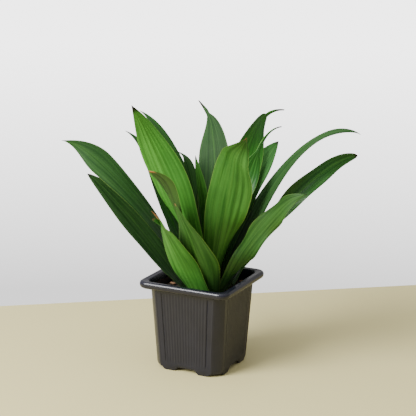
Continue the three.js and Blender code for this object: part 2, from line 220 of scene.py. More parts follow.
# Dust: pale fine grit that settles on what faces up, thicker in patches.
dust, way_in, way_out = group_sockets(
    "settled_dust",
    [("Position", "NodeSocketVector", (0, 0, 0)), ("Amount", "NodeSocketFloat", 0.3),
     ("Patch", "NodeSocketFloat", 80.0)],
    [("Mask", "NodeSocketFloat")])
facing = node(dust, "ShaderNodeSeparateXYZ",
              {0: node(dust, "ShaderNodeNewGeometry").outputs["Normal"]})
upward = spread(dust, facing.outputs["Z"], 0.1, 0.95, 0.12, 1.0)
patch = node(dust, "ShaderNodeTexNoise", {"Vector": way_in.outputs["Position"],
                                          "Scale": way_in.outputs["Patch"], "Detail": 5.0,
                                          "Roughness": 0.7})
settled = sums(dust, "MULTIPLY", upward, spread(dust, patch.outputs[0], 0.4, 0.75))
dust.links.new(sums(dust, "MULTIPLY", settled, way_in.outputs["Amount"], True),
               way_out.inputs["Mask"])


def new_material(name):
    """A material with a bare Principled shader: (material, its node tree, the shader)."""
    made = bpy.data.materials.new(name)
    made.use_nodes = True
    tree = made.node_tree
    return made, tree, tree.nodes["Principled BSDF"]


def use(tree, group, **values):
    """Places a shared effect in a material, with its own values."""
    made = tree.nodes.new("ShaderNodeGroup")
    made.node_tree = group
    for key, value in values.items():
        socket = made.inputs[key.replace("_", " ")]
        if isinstance(value, bpy.types.NodeSocket):
            tree.links.new(value, socket)
        else:
            socket.default_value = value
    return made.outputs


pot_plastic, tree, shader = new_material("pot_plastic")
spot = node(tree, "ShaderNodeTexCoord").outputs["Object"]
cloud = use(tree, mottle, Position=spot, Blotch=38.0, Grain=1500.0, Grain_share=0.35)
upright = node(tree, "ShaderNodeMapping", {"Vector": spot, "Scale": (1.0, 1.0, 0.06)})
drag = node(tree, "ShaderNodeTexNoise", {"Vector": upright.outputs[0], "Scale": 420.0,
                                         "Detail": 3.0})
film = use(tree, dust, Position=spot, Amount=0.22, Patch=90.0)
black = blend(tree, spread(tree, cloud["Mask"], 0.35, 0.65), (0.0040, 0.0042, 0.0115, 1),
              (0.0068, 0.0070, 0.0160, 1))
black = blend(tree, spread(tree, drag.outputs[0], 0.5, 0.8, 0.0, 0.25), black,
              (0.014, 0.0135, 0.017, 1))
black = blend(tree, film["Mask"], black, (0.075, 0.07, 0.075, 1))
tree.links.new(black, shader.inputs["Base Color"])
gloss = spread(tree, cloud["Mask"], 0.3, 0.7, 0.32, 0.42)
level = node(tree, "ShaderNodeSeparateXYZ", {0: spot}).outputs["Z"]
gloss = sums(tree, "SUBTRACT", gloss, spread(tree, level, 0.0885, 0.0905, 0.0, 0.13))
tree.links.new(sums(tree, "ADD", gloss, sums(tree, "MULTIPLY", film["Mask"], 0.35)),
               shader.inputs["Roughness"])
rough_skin = sums(tree, "ADD", cloud["Height"], sums(tree, "MULTIPLY", drag.outputs[0], 0.7))
skin = node(tree, "ShaderNodeBump", {"Strength": 0.16, "Distance": 0.0004,
                                     "Height": rough_skin})
tree.links.new(skin.outputs[0], shader.inputs["Normal"])
shader.inputs["Specular IOR Level"].default_value = 0.4


def body_half(z):
    return lerp(BODY_FOOT, BODY_TOP, z / UNDER_RIM) / 2


def inner_half(z):
    return body_half(z) - WALL


IN_CORNER = CHAMFER - WALL * 0.6
pot_rings = [pot_ring(inner_half(FLOOR) * share, IN_CORNER * share, FLOOR)
             for share in (0.3, 0.7, 1)]
pot_rings.append(pot_ring(inner_half(0), IN_CORNER, None))
pot_rings.append(pot_ring(body_half(0) - 0.25, CHAMFER, None))
pot_rings.append(pot_ring(body_half(0), CHAMFER, None) + (0, 0, 0.35))
for z, relief in ((6.5, 0), (8.5, 0.15), (10, 0.7), (12, 1), (24, 1), (38, 1), (52, 1),
                  (66, 1), (78, 1), (84, 1), (86, 0.7), (87.2, 0.15), (88.2, 0)):
    pot_rings.append(pot_ring(body_half(z), CHAMFER, z, relief))
rim_profile = [(body_half(89.8), 8.6, 89.8), (body_half(90) + 0.6, 8.6, 90.4),
               (RIM_HALF - 3.2, 9, 90.4), (RIM_HALF - 2.0, 9.4, 90.6),
               (RIM_HALF - 0.9, 9.6, 91.3), (RIM_HALF - 0.25, 9.8, 92.6),
               (RIM_HALF, 9.9, 94.2), (RIM_HALF - 0.1, 9.9, 95.6),
               (RIM_HALF - 0.55, 9.7, 96.8), (RIM_HALF - 1.3, 9.5, 97.6),
               (RIM_HALF - 2.3, 9.3, 98.0), (RIM_HALF - 3.2, 9.0, 97.9),
               (RIM_HALF - 4.0, 8.8, 97.6), (RIM_HALF - 5.6, 8.4, 97.5),
               (RIM_HALF - 6.8, 8.0, 97.4), (RIM_HALF - 7.6, 7.8, 96.9),
               (RIM_HALF - 8.1, 7.7, 95.8), (RIM_HALF - 8.9, 7.6, 93.0)]
for half, corner, z in rim_profile:
    pot_rings.append(pot_ring(half, corner, z, roundness=1))
inner_profile = [(UNDER_RIM - 1, 1), (60, 1), (30, 1), (9, 1), (7.5, 0.985), (7.5, 0.7),
                 (7.5, 0.3)]
for z, share in inner_profile:
    pot_rings.append(pot_ring(inner_half(z) * share, IN_CORNER * share, z, roundness=0.6))
points = np.concatenate(pot_rings + [[(0, 0, FLOOR), (0, 0, 7.5)]])
pot = new_object("nursery_pot", points, skin_faces(len(pot_rings), len(pot_rings[0])),
                 pot_plastic, 34)
drill = bpy.data.meshes.new("drill")
HOLE_OUT, HOLE_RADIUS, HOLE_SIDES = 22, 4, 32
holes = [(0, 0)] + [(x * HOLE_OUT, y * HOLE_OUT) for x in (-1, 1) for y in (-1, 1)]
drill_points = []
drill_faces = []
for x, y in holes:
    start = len(drill_points)
    for z in (2, 12):
        drill_points += [(x + HOLE_RADIUS * math.cos(a), y + HOLE_RADIUS * math.sin(a), z)
                         for a in np.linspace(0, 2 * math.pi, HOLE_SIDES, endpoint=False)]
    low_ring = [start + i for i in range(HOLE_SIDES)]
    high_ring = [i + HOLE_SIDES for i in low_ring]
    for i in range(HOLE_SIDES):
        j = (i + 1) % HOLE_SIDES
        drill_faces.append((low_ring[i], low_ring[j], high_ring[j], high_ring[i]))
    drill_faces += [tuple(reversed(low_ring)), tuple(high_ring)]
cutter = new_object("drill", drill_points, drill_faces, pot_plastic)
cut = pot.modifiers.new("drain", "BOOLEAN")
cut.operation, cut.object, cut.solver = "DIFFERENCE", cutter, "EXACT"
bpy.context.view_layer.update()
drilled = bpy.data.meshes.new_from_object(
    pot.evaluated_get(bpy.context.evaluated_depsgraph_get()))
pot.modifiers.clear()
pot.data = drilled
bpy.data.objects.remove(cutter)
place(pot, "pot")

# ---- Cane -----------------------------------------------------------------------------
# The plant's short woody stem, green at the top and corky lower down, ringed with the
# scars of old leaves. Its lower end is buried in the mix, and every leaf clasps it.
STEM_X, STEM_Y = 9.0, -1.0
SOIL_TOP = 84.0
STEM_FOOT, STEM_TOP = 56.0, 140.0
STEM_FOOT_RADIUS, STEM_TOP_RADIUS = 8.2, 2.4


def stem_radius(z):
    climbed = np.clip((z - STEM_FOOT) / (STEM_TOP - STEM_FOOT), 0, 1)
    return lerp(STEM_FOOT_RADIUS, STEM_TOP_RADIUS, climbed)


cane_bark, tree, shader = new_material("cane_bark")
spot = node(tree, "ShaderNodeTexCoord").outputs["Object"]
cloud = use(tree, mottle, Position=spot, Blotch=160.0, Grain=1800.0, Grain_share=0.5)
height = node(tree, "ShaderNodeSeparateXYZ", {0: spot}).outputs["Z"]
young = spread(tree, height, 0.085, 0.12)
tone = blend(tree, young, (0.16, 0.12, 0.055, 1), (0.20, 0.26, 0.08, 1))
tone = blend(tree, spread(tree, cloud["Mask"], 0.35, 0.7, 0.0, 0.6), tone,
             (0.09, 0.075, 0.035, 1))
tree.links.new(tone, shader.inputs["Base Color"])
shader.inputs["Roughness"].default_value = 0.7
skin = node(tree, "ShaderNodeBump", {"Strength": 0.5, "Distance": 0.0006,
                                     "Height": cloud["Height"]})
tree.links.new(skin.outputs[0], shader.inputs["Normal"])

SCAR_GAP = 3.4
AROUND = 40
around = np.linspace(0, 2 * math.pi, AROUND, endpoint=False)
cane_rings = []
for z in np.concatenate([[33, 40, 50], np.arange(56, 139, 0.5), [139.2, 139.8]]):
    buried = lerp(5.2, STEM_FOOT_RADIUS, ease((z - 32) / 20))
    radius = min(buried, float(stem_radius(z))) - 0.1
    scar = 0.35 * math.exp(-(((z % SCAR_GAP) - SCAR_GAP / 2) / 0.45) ** 2) if z > 56 else 0
    radius = radius - 0.3 + scar * (1 + 0.25 * np.sin(3 * around + z))
    radius = radius * (0.35 if z > 139.5 else 0.8 if z > 139 else 1)
    cane_rings.append(np.stack([STEM_X + radius * np.cos(around),
                                STEM_Y + radius * np.sin(around),
                                np.full(AROUND, z)], 1))
points = np.concatenate(cane_rings + [[(STEM_X, STEM_Y, 32.2), (STEM_X, STEM_Y, STEM_TOP)]])
cane = new_object("cane", points, skin_faces(len(cane_rings), AROUND), cane_bark)
place(cane, "stem")

# ---- Leaves ---------------------------------------------------------------------------
# Strap leaves, each one blade: a sheathing base that clasps the cane, a sunken midrib, fine
# parallel veins in shallow pleats, a thin pale margin and a drawn-out point. The upper face
# is dark and waxy, the underside paler and duller, and some points are withered.

# Sizes are in mm and degrees. A leaf heads off at turn, from foot over the mix, and climbs
# at rise at its base and tip at its point; a higher bend keeps that change near the point.
# swing turns it sideways, twist and curl roll it, hook and nod turn and tip its last fifth,
# and cup is the half angle of its trough. neck, belly, round and tail shape its width, and
# wave and frill its edges. tone runs from dark to light green, dry is the length of the
# withered point, tan its colour from dark to tan, and dull takes the wax off.
LEAF = dict(bend=1.6, swing=0, twist=0, curl=0, hook=0, nod=0, cup=20, neck=0.6, belly=0.5,
            round=0.85, tail=0, wave=0, frill=0.025, tone=0.4, dry=4, tan=0, dull=0)
LEAVES = dict(
    leaf_01=dict(turn=130, foot=-25, long=126, wide=24, rise=46, tip=22),
    leaf_02=dict(turn=78, foot=-24, long=116, wide=25, rise=50, tip=28),
    leaf_03=dict(turn=196, foot=-24, long=190, wide=31.7, rise=54.5, tip=43, bend=1.41,
                 swing=-1, twist=-32, curl=-18, hook=7, nod=-7, neck=0.55, belly=0.55,
                 round=0.74, tone=0),
    leaf_04=dict(turn=255, foot=-19, long=134, wide=35.4, rise=57, tip=60, bend=1.52,
                 swing=-1, twist=20, curl=-45, hook=-60, nod=-35, cup=33, neck=0.81,
                 belly=0.3, round=0.57, tone=0.6, dry=2, tan=0.2),
    leaf_05=dict(turn=27, foot=-17, long=225, wide=21, rise=61, tip=21, bend=1.99, swing=25,
                 twist=34, curl=60, hook=-11, nod=-19, cup=34, neck=0.52, belly=0.7,
                 round=0.53, wave=3, frill=0.07, tone=0.3),
    leaf_06=dict(turn=150, foot=-16, long=130, wide=28, rise=56, tip=25, bend=2),
    leaf_07=dict(turn=281, foot=-14, long=139, wide=40, rise=62.3, tip=62, bend=0.82,
                 swing=-57, twist=9, curl=-17, hook=24, cup=6, neck=0.53, belly=0.42,
                 round=0.8, tone=0.15, dry=2, tan=0.6),
    leaf_08=dict(turn=350, foot=-12, long=181, wide=22.3, rise=62.9, tip=36, bend=1.26,
                 swing=-23, twist=-80, curl=-25, hook=60, nod=-24, cup=13, neck=0.76,
                 belly=0.7, round=0.94, wave=3, frill=0.09, tone=0.1, dry=2),
    leaf_09=dict(turn=195, foot=-11, long=230, wide=26.6, rise=60.5, tip=33, bend=1.37,
                 swing=-2, twist=-12, curl=-90, hook=11, nod=-30, cup=6, neck=0.4,
                 belly=0.78, round=1.35, tone=0.1),
    leaf_10=dict(turn=100, foot=-10, long=132, wide=28, rise=60, tip=30),
    leaf_11=dict(turn=226, foot=-9, long=116, wide=16.4, rise=62.3, tip=60, bend=1.71,
                 swing=-1, twist=-4, curl=14, hook=22, nod=-18, cup=21, belly=0.53,
                 round=0.78, tone=0.35, dry=12, tan=0.35),
    leaf_12=dict(turn=36, foot=-8, long=251, wide=38, rise=65.3, tip=-2, bend=3.69,
                 swing=-46, twist=15, curl=5, hook=70, nod=-32, cup=18, belly=0.21,
                 round=0.75, tone=0.1, dull=1),
    leaf_13=dict(turn=189, foot=-3, long=192, wide=35.2, rise=68.8, tip=48, bend=3.81,
                 swing=4, twist=-28, curl=21, hook=9, nod=-22, cup=19, belly=0.48,
                 round=0.89, tone=0.5),
    leaf_14=dict(turn=69, foot=3, long=173, wide=29.8, rise=67.9, tip=37, bend=2.52,
                 swing=-10, twist=19, curl=17, hook=9, nod=-3, cup=23, belly=0.71,
                 tone=0.45, dull=0.6),
    leaf_15=dict(turn=255, foot=-7, long=179, wide=28.8, rise=66.4, tip=33, bend=4.29,
                 swing=12, twist=-49, curl=62, hook=-30, nod=-11, cup=32, belly=0.87,
                 round=0.7, tone=0, tan=1),
    leaf_16=dict(turn=234, foot=4, long=226, wide=43.8, rise=73, tip=53, bend=1.65,
                 swing=28, twist=24, curl=39, hook=1, nod=-5, cup=35, neck=0.61, belly=0.48,
                 round=0.95, tone=0.9, dry=9),
    leaf_17=dict(turn=65, foot=7, long=214, wide=35.9, rise=72.6, tip=2, bend=4.43,
                 swing=29, twist=39, curl=82, hook=-91, nod=-6, cup=18, belly=0.65,
                 round=0.5, tail=0.1, tone=0.8, dry=9, dull=0.1),
    leaf_18=dict(turn=321, foot=9, long=201, wide=46.8, rise=74.1, tip=38, bend=1.4,
                 swing=-35, twist=-36, curl=-11, hook=131, nod=27, cup=6, neck=0.33,
                 belly=0.61, round=0.63, tone=0.38, dry=2, tan=0.5),
    leaf_19=dict(turn=33, foot=17, long=176, wide=32, rise=73, tip=41, bend=5.6, swing=25,
                 twist=54, curl=60, hook=-47, nod=-34, cup=6, neck=0.62, belly=0.61,
                 tail=0.2, tone=0.5, dry=7),
    leaf_20=dict(turn=175, foot=15, long=193, wide=31.8, rise=75.1, tip=38, bend=2.56,
                 swing=-3, curl=-2, hook=5, nod=-17, belly=0.47),
    leaf_21=dict(turn=165, foot=22, long=133, wide=17, rise=79.4, tip=65, bend=2.67,
                 swing=12, twist=3, curl=1, hook=71, nod=-53, cup=33, neck=0.59, belly=0.83,
                 round=0.76, tone=0.15),
    leaf_22=dict(turn=107, foot=28, long=193, wide=37.1, rise=80.4, tip=1, bend=2.56,
                 swing=32, twist=-5, curl=-79, hook=30, nod=40, cup=1, belly=0.57, tail=0.1,
                 tone=0, dry=9, dull=1),
    leaf_23=dict(turn=250, foot=40, long=110, wide=18, rise=84, tip=76, tone=0.5),
    leaf_24=dict(turn=330, foot=49, long=60, wide=10, rise=86, tip=84, tone=0.7),
)

leaf_skin, tree, shader = new_material("leaf_skin")
spot = node(tree, "ShaderNodeTexCoord").outputs["Object"]
across = node(tree, "ShaderNodeSeparateXYZ", {0: node(tree, "ShaderNodeUVMap",
                                                      uv_map="blade").outputs[0]})
look = node(tree, "ShaderNodeSeparateColor",
            {0: node(tree, "ShaderNodeAttribute", attribute_name="look").outputs["Color"]})
under, dry, tone = (look.outputs[name] for name in ("Red", "Green", "Blue"))
point = node(tree, "ShaderNodeSeparateColor",
             {0: node(tree, "ShaderNodeAttribute", attribute_name="point").outputs["Color"]})
tan, breadth, dull = (point.outputs[name] for name in ("Red", "Green", "Blue"))


def streaks(count, stretch, detail):
    """Stripes along the blade: count of them across it, stretch changes along it."""
    along = node(tree, "ShaderNodeCombineXYZ",
                 {0: sums(tree, "MULTIPLY", across.outputs["X"], count),
                  1: sums(tree, "MULTIPLY", across.outputs["Y"], stretch),
                  2: sums(tree, "MULTIPLY", tone, 91.0)})
    return node(tree, "ShaderNodeTexNoise", {"Vector": along.outputs[0], "Scale": 1.0,
                                             "Detail": detail}).outputs[0]


bands = streaks(11.0, 1.6, 3.0)
veins = streaks(70.0, 5.0, 2.0)
cloud = use(tree, mottle, Position=spot, Blotch=28.0, Grain=700.0, Grain_share=0.2)
band = spread(tree, bands, 0.38, 0.62)
upper_dark = blend(tree, tone, (0.006, 0.027, 0.006, 1), (0.010, 0.115, 0.007, 1))
upper_pale = blend(tree, tone, (0.022, 0.062, 0.016, 1), (0.036, 0.200, 0.018, 1))
upper = blend(tree, band, upper_dark, upper_pale)
lower_dark = blend(tree, tone, (0.010, 0.038, 0.006, 1), (0.026, 0.145, 0.013, 1))
lower_pale = blend(tree, tone, (0.030, 0.082, 0.015, 1), (0.070, 0.280, 0.036, 1))
lower = blend(tree, band, lower_dark, lower_pale)
green = blend(tree, under, upper, lower)
green = blend(tree, spread(tree, veins, 0.45, 0.75, 0.0, 0.35), green,
              blend(tree, 0.4, green, (0.10, 0.22, 0.03, 1)))
green = blend(tree, spread(tree, cloud["Mask"], 0.4, 0.7, 0.0, 0.3), green,
              (0.010, 0.042, 0.008, 1))
from_rib = sums(tree, "ABSOLUTE", sums(tree, "SUBTRACT", across.outputs["X"], 0.5), 0.0)
rib = spread(tree, from_rib, 0.006, 0.03, 0.3, 0.0)
green = blend(tree, rib, green, (0.05, 0.15, 0.02, 1))
margin = spread(tree, from_rib, 0.484, 0.497, 0.0, 0.55)
green = blend(tree, margin, green, (0.20, 0.32, 0.06, 1))
sheath = spread(tree, across.outputs["Y"], 0.02, 0.16, 0.55, 0.0)
green = blend(tree, sheath, green, (0.08, 0.16, 0.02, 1))
withered = blend(tree, tan, (0.010, 0.012, 0.004, 1), (0.38, 0.17, 0.07, 1))
green = blend(tree, dry, green, withered)
film = use(tree, dust, Position=spot, Amount=0.02, Patch=120.0)
green = blend(tree, film["Mask"], green, (0.35, 0.35, 0.3, 1))
tree.links.new(green, shader.inputs["Base Color"])
wax = sums(tree, "ADD", spread(tree, cloud["Mask"], 0.3, 0.7, 0.36, 0.46),
           sums(tree, "MULTIPLY", under, 0.12))
wax = sums(tree, "ADD", wax, sums(tree, "MULTIPLY", dry, 0.25))
wax = sums(tree, "ADD", wax, sums(tree, "MULTIPLY", dull, 0.3))
tree.links.new(wax, shader.inputs["Roughness"])
relief = sums(tree, "ADD", sums(tree, "MULTIPLY", bands, 1.2),
              sums(tree, "MULTIPLY", veins, 0.4))
relief = sums(tree, "MULTIPLY", relief, breadth)
skin = node(tree, "ShaderNodeBump", {"Strength": 0.3, "Distance": 0.0006, "Height": relief})
tree.links.new(skin.outputs[0], shader.inputs["Normal"])
shader.inputs["Specular IOR Level"].default_value = 0.17

STATIONS = 96
COLUMNS = 44
THICK = 0.7
EDGE_WAVES = 3
PLEATS = 21


def width_share(leaf, t):
    """Share of the full width at t along a blade."""
    reach = 1 - leaf["tail"]
    u = min(1, t / reach)
    swell = lerp(leaf["neck"], 1, math.sin(min(1, u / leaf["belly"]) * math.pi / 2))
    v = max(0, (u - leaf["belly"]) / (1 - leaf["belly"]))
    blade = swell * max(0, math.cos(v * math.pi / 2)) ** leaf["round"]
    thread = 0.12 * min(1, (1 - t) / leaf["tail"] + 0.15) if leaf["tail"] else 0
    return max(blade, thread, 0.012)


def blade_sections(leaf, steps=2):
    """Along a blade: share, climb, distance from the cane, midrib point, side and face."""
    heading = math.radians(leaf["turn"])
    reach = float(stem_radius(SOIL_TOP + leaf["foot"])) + 1.7
    middle = Vector((STEM_X + reach * math.cos(heading), STEM_Y + reach * math.sin(heading),
                     SOIL_TOP + leaf["foot"]))
    sections = []
    for i in range(STATIONS * steps + 1):
        t = i / (STATIONS * steps)
        late = max(0, (t - 0.8) / 0.2) ** 2
        climb = lerp(leaf["rise"], leaf["tip"], t ** leaf["bend"]) + leaf["nod"] * late
        climb = math.radians(climb)
        course = heading + math.radians(leaf["swing"] * t * t + leaf["hook"] * late)
        roll = math.radians(leaf["twist"] * float(ease(t * 2.2)) + leaf["curl"] * t ** 3)
        flat = math.cos(climb)
        along = Vector((flat * math.cos(course), flat * math.sin(course), math.sin(climb)))
        level = Vector((-math.sin(course), math.cos(course), 0))
        back = along.cross(level)
        side = level * math.cos(roll) + back * math.sin(roll)
        face = back * math.cos(roll) - level * math.sin(roll)
        if i % steps == 0:
            sections.append((t, climb, reach, middle.copy(), side, face))
        middle += along * (leaf["long"] / (STATIONS * steps))
        reach += flat * leaf["long"] / (STATIONS * steps)
    return sections


def blade_point(leaf, section, v, layer):
    """A point across a section: v from -1 to 1, layer 1 on the upper face, -1 under it."""
    t, climb, reach, middle, side, face = section
    half = leaf["wide"] / 2 * width_share(leaf, t)
    uneven = math.sin(17 * t + leaf["turn"] + (2 if v > 0 else 0))
    half *= 1 + leaf["frill"] * abs(v) * uneven * float(ease(t * 3))
    turn = math.radians(leaf["turn"]) + v * min(half / reach, math.radians(80))
    out = Vector((math.cos(turn), math.sin(turn), 0))
    wrapped = Vector((STEM_X, STEM_Y, middle.z)) + out * reach
    wrapped_up = Vector((-math.sin(climb) * out.x, -math.sin(climb) * out.y, math.cos(climb)))
    natural = min(1.1, half * math.sin(climb) / reach)
    arc = lerp(natural, math.radians(leaf["cup"]) * lerp(1, 0.6, t), float(ease(t / 0.5)))
    radius = half / arc
    beat = 2 * math.pi * EDGE_WAVES * t + (1.4 if v > 0 else 0)
    ripple = leaf["wave"] * v * v * math.sin(beat)
    ripple = ripple * float(ease(t * 3)) * float(ease(4 - 4 * t))
    open_at = middle + side * (radius * math.sin(arc * v))
    open_at = open_at + face * (radius * (1 - math.cos(arc * v)) + ripple)
    open_up = face * math.cos(arc * v) - side * math.sin(arc * v)
    free = float(ease((reach - 16) / 30))
    up = (wrapped_up.lerp(open_up, free)).normalized()
    calm = (1 - v ** 4) * float(ease(t * 5)) * (1 - t) ** 0.4
    fold = math.sin(PLEATS * v + 0.9 * math.sin(3 * t + leaf["turn"])) * 0.13
    fold += 0.4 * noise.noise((v * 2.1, t * 4, leaf["turn"]))
    fold += 0.16 * noise.noise((v * 9, t * 3, leaf["turn"] + 50))
    rib = math.exp(-(v / 0.07) ** 2) * (1 - 0.6 * t)
    skin = THICK / 2 * math.sqrt(max(0, 1 - abs(v) ** 5)) * lerp(1, 0.55, t)
    if leaf["tail"]:  # the thread at the point is rolled up, so it is thicker
        skin *= 1 + 3 * float(ease((t - 1) / leaf["tail"] * 1.25 + 2))
    lift = fold * calm * leaf["wide"] / 40
    if layer > 0:
        lift += skin - 0.22 * rib
    elif layer < 0:
        lift -= skin + 0.35 * rib
    return wrapped.lerp(open_at, free) + up * lift


def blade_object(name, leaf):
    """One leaf: a thin closed blade, with its place on the blade and its look stored."""
    points, places, looks, tips = [], [], [], []
    ring = [(j, -1 if 0 < j < COLUMNS else 0) for j in range(COLUMNS + 1)]
    ring += [(j, 1) for j in range(COLUMNS - 1, 0, -1)]
    for section in blade_sections(leaf):
        t = section[0]
        for j, layer in ring:
            v = 2 * j / COLUMNS - 1
            points.append(blade_point(leaf, section, v, layer))
            places.append((0.5 + v / 2, t))
            left = (1 - t) * leaf["long"]
            ragged = noise.noise((v * 2.5, t * 9, leaf["turn"])) * 3
            browned = float(ease((leaf["dry"] * 1.4 - left + ragged) / (leaf["dry"] * 0.7)))
            looks.append((0.5 - layer / 2, browned, leaf["tone"], 1))
            tips.append((leaf["tan"], width_share(leaf, t) ** 1.5, leaf["dull"], 1))
    n = len(ring)
    ends = [sum(row, Vector()) / n for row in (points[:n], points[-n:])]
    points += ends
    places += [(0.5, 0), (0.5, 1)]
    looks += [(0.5, 0, leaf["tone"], 1), (0.5, 1, leaf["tone"], 1)]
    tips += [(leaf["tan"], 0.3, leaf["dull"], 1), (leaf["tan"], 0, leaf["dull"], 1)]
    faces = skin_faces(STATIONS + 1, len(ring))
    made = new_object(name, [tuple(p) for p in points], faces, leaf_skin, 75)
    mesh = made.data
    uv = mesh.uv_layers.new(name="blade")
    corner = np.empty(len(mesh.loops), np.int32)
    mesh.loops.foreach_get("vertex_index", corner)
    uv.data.foreach_set("uv", np.array(places, np.float32)[corner].ravel())
    for label, shades in (("look", looks), ("point", tips)):
        stored = mesh.attributes.new(label, "FLOAT_COLOR", "POINT")
        stored.data.foreach_set("color", np.array(shades, np.float32).ravel())
    return made


for name, given in LEAVES.items():
    blade = blade_object(name.replace("leaf", "blade"), {**LEAF, **given})
    place(blade, name)

# ---- Potting mix ----------------------------------------------------------------------
# A loose dark mix of composted bark and peat, tipped in round the root ball and settled
# to about a thumb's width under the rim. It is lumpy on top, with crumbs lying on it.
mix_earth, tree, shader = new_material("mix_earth")
spot = node(tree, "ShaderNodeTexCoord").outputs["Object"]
cloud = use(tree, mottle, Position=spot, Blotch=220.0, Grain=1400.0, Grain_share=0.5)
lumps = node(tree, "ShaderNodeTexVoronoi", {"Vector": spot, "Scale": 420.0})
earth = blend(tree, spread(tree, cloud["Mask"], 0.35, 0.65), (0.012, 0.008, 0.005, 1),
              (0.050, 0.032, 0.020, 1))
fleck = sums(tree, "MULTIPLY", spread(tree, cloud["Height"], 0.60, 0.68),
             spread(tree, lumps.outputs["Distance"], 0.1, 0.4))
earth = blend(tree, fleck, earth, (0.17, 0.10, 0.055, 1))
tree.links.new(earth, shader.inputs["Base Color"])
shader.inputs["Roughness"].default_value = 0.92
pile = sums(tree, "ADD", lumps.outputs["Distance"], cloud["Height"])
skin = node(tree, "ShaderNodeBump", {"Strength": 0.9, "Distance": 0.0015, "Height": pile})
tree.links.new(skin.outputs[0], shader.inputs["Normal"])


def mix_height(x, y):
    """Height of the mix at a point: lumpy, and lying just under the lowest leaf bases."""
    broad = math.sin(x * 0.21 + 1.1) * math.cos(y * 0.17 - 0.6)
    lump = noise.noise((x * 0.16, y * 0.16, 3)) + 0.6 * noise.noise((x * 0.5, y * 0.5, 8))
    height = SOIL_TOP + 0.6 * broad + 1.2 * lump + 0.5 * noise.noise((x * 1.4, y * 1.4, 5))
    reach = math.hypot(x - STEM_X, y - STEM_Y)
    bearing = math.atan2(y - STEM_Y, x - STEM_X)
    for leaf in LEAVES.values():
        off = bearing - math.radians(leaf["turn"])
        away = abs(math.atan2(math.sin(off), math.cos(off)))
        start = float(stem_radius(SOIL_TOP + leaf["foot"]))
        climbed = max(0, reach - start) * math.tan(math.radians(leaf["rise"]))
        beside = min(math.radians(85), leaf["wide"] / 2 / max(reach, 1)) + math.radians(16)
        if away < beside:
            height = min(height, SOIL_TOP + leaf["foot"] + climbed - 2.2)
    return height


MIX_FLOOR = FLOOR + WALL + 0.6
BEARINGS = 192
bearings = np.linspace(0, 2 * math.pi, BEARINGS, endpoint=False)


def wall_reach(bearing, z):
    """How far from the cane the pot's inner wall is, that way and at that height."""
    half, cut = float(inner_half(z)) - 0.35, IN_CORNER
    dx, dy = math.cos(bearing), math.sin(bearing)
    limits = []
    for nx, ny, d in ((1, 0, half), (-1, 0, half), (0, 1, half), (0, -1, half),
                      (1, 1, 2 * half - cut), (1, -1, 2 * half - cut),
                      (-1, 1, 2 * half - cut), (-1, -1, 2 * half - cut)):
        if nx * dx + ny * dy > 1e-6:
            limits.append((d - nx * STEM_X - ny * STEM_Y) / (nx * dx + ny * dy))
    return min(limits)


mix_rings = []
for z in (MIX_FLOOR, SOIL_TOP - 1.5):
    mix_rings.append([(STEM_X + wall_reach(b, z) * math.cos(b),
                       STEM_Y + wall_reach(b, z) * math.sin(b), z) for b in bearings])
for share in np.linspace(0, 1, 44)[:-1]:
    ring = []
    for b in bearings:
        far = wall_reach(b, SOIL_TOP)
        reach = lerp(far - 0.2, STEM_FOOT_RADIUS + 0.4, share)
        x, y = STEM_X + reach * math.cos(b), STEM_Y + reach * math.sin(b)
        ring.append((x, y, mix_height(x, y)))
    mix_rings.append(ring)
socket = STEM_FOOT_RADIUS + 0.4
mix_rings.append([(STEM_X + socket * math.cos(b), STEM_Y + socket * math.sin(b), 54.0)
                  for b in bearings])
mix_rings.append([(STEM_X + 5.6 * math.cos(b), STEM_Y + 5.6 * math.sin(b), 31.6)
                  for b in bearings])
points = np.concatenate(mix_rings + [[(0, 0, MIX_FLOOR), (STEM_X, STEM_Y, 31.6)]])
mix = new_object("potting_mix_heap", points, skin_faces(len(mix_rings), BEARINGS), mix_earth,
                 60)
place(mix, "potting_mix")

# Crumbs of the same mix lie on it.
CRUMBS = 900
crumb_rng = random.Random(11)


def lump_points(rng, size, flatness, spin, centre, rough=0.25):
    """A small rough lump: the points of a ball, pushed about and squashed."""
    grown = []
    for p in BALL_POINTS:
        bite = 1 + rng.uniform(-rough, rough)
        x, y, z = p[0] * size[0] * bite, p[1] * size[1] * bite, p[2] * size[2] * bite
        grown.append((centre[0] + x * math.cos(spin) - y * math.sin(spin),
                      centre[1] + x * math.sin(spin) + y * math.cos(spin),
                      centre[2] + z * flatness))
    return grown


